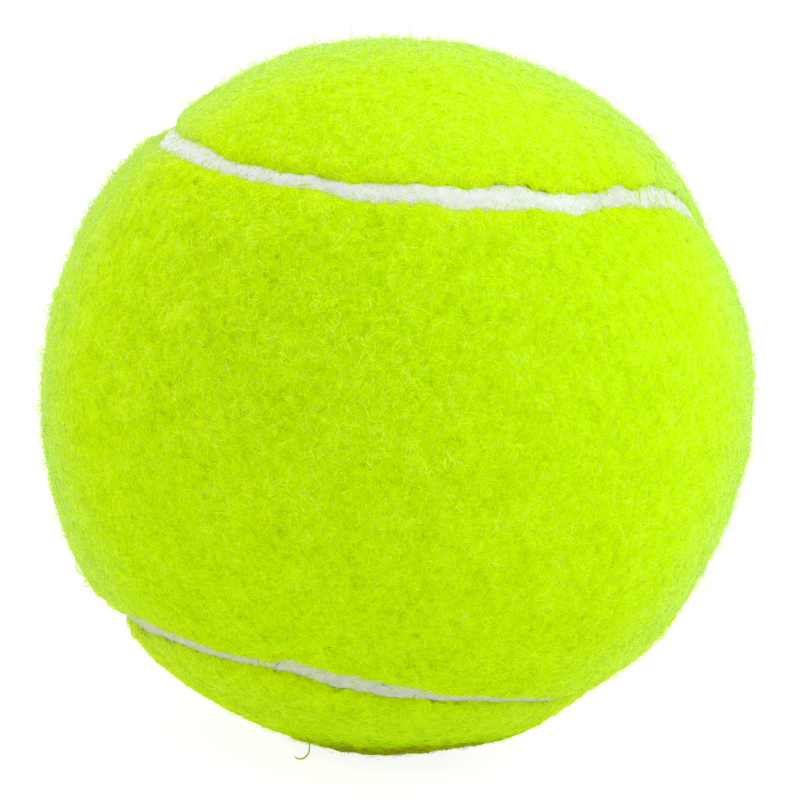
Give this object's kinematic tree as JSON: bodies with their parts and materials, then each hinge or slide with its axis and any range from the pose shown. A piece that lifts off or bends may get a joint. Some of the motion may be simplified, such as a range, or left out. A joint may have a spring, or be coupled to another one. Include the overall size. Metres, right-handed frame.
{
  "type": "tennis ball",
  "caption": "Felt-covered hollow rubber ball: interlocking dog-bone felt panels, a closed white seam strip, and a bonded rubber core inside.",
  "frame": {"origin": "centre of the ball", "axes": "+Z from the centre to the top, through the middle of felt panel a's upper half, with the core's joint in the XY plane; the waist of felt panel a faces +Y, the waist of felt panel b faces -Y, and panel b's round ends lie over +X and -X"},
  "size_m": [0.067, 0.067, 0.067],
  "materials": {
    "felt": "raised, matted nap, yellow-green, with fine curly fibres",
    "seam_rubber": "matt off-white seam rubber, slightly crowned",
    "core_rubber": "matt moulded dark grey rubber",
    "rubber_cement": "thin cured tan rubber solution, satin",
    "joint_cement": "cured amber-brown rubber cement, satin"
  },
  "bodies": {
    "root": {"core_shell_lower": "core_rubber", "core_shell_upper": "core_rubber", "core_joint": "joint_cement", "core_cement": "rubber_cement", "panel_cement_a": "rubber_cement", "panel_cement_b": "rubber_cement", "felt_panel_a": "felt", "felt_panel_b": "felt", "seam_strip": "seam_rubber"}
  },
  "joints": []
}
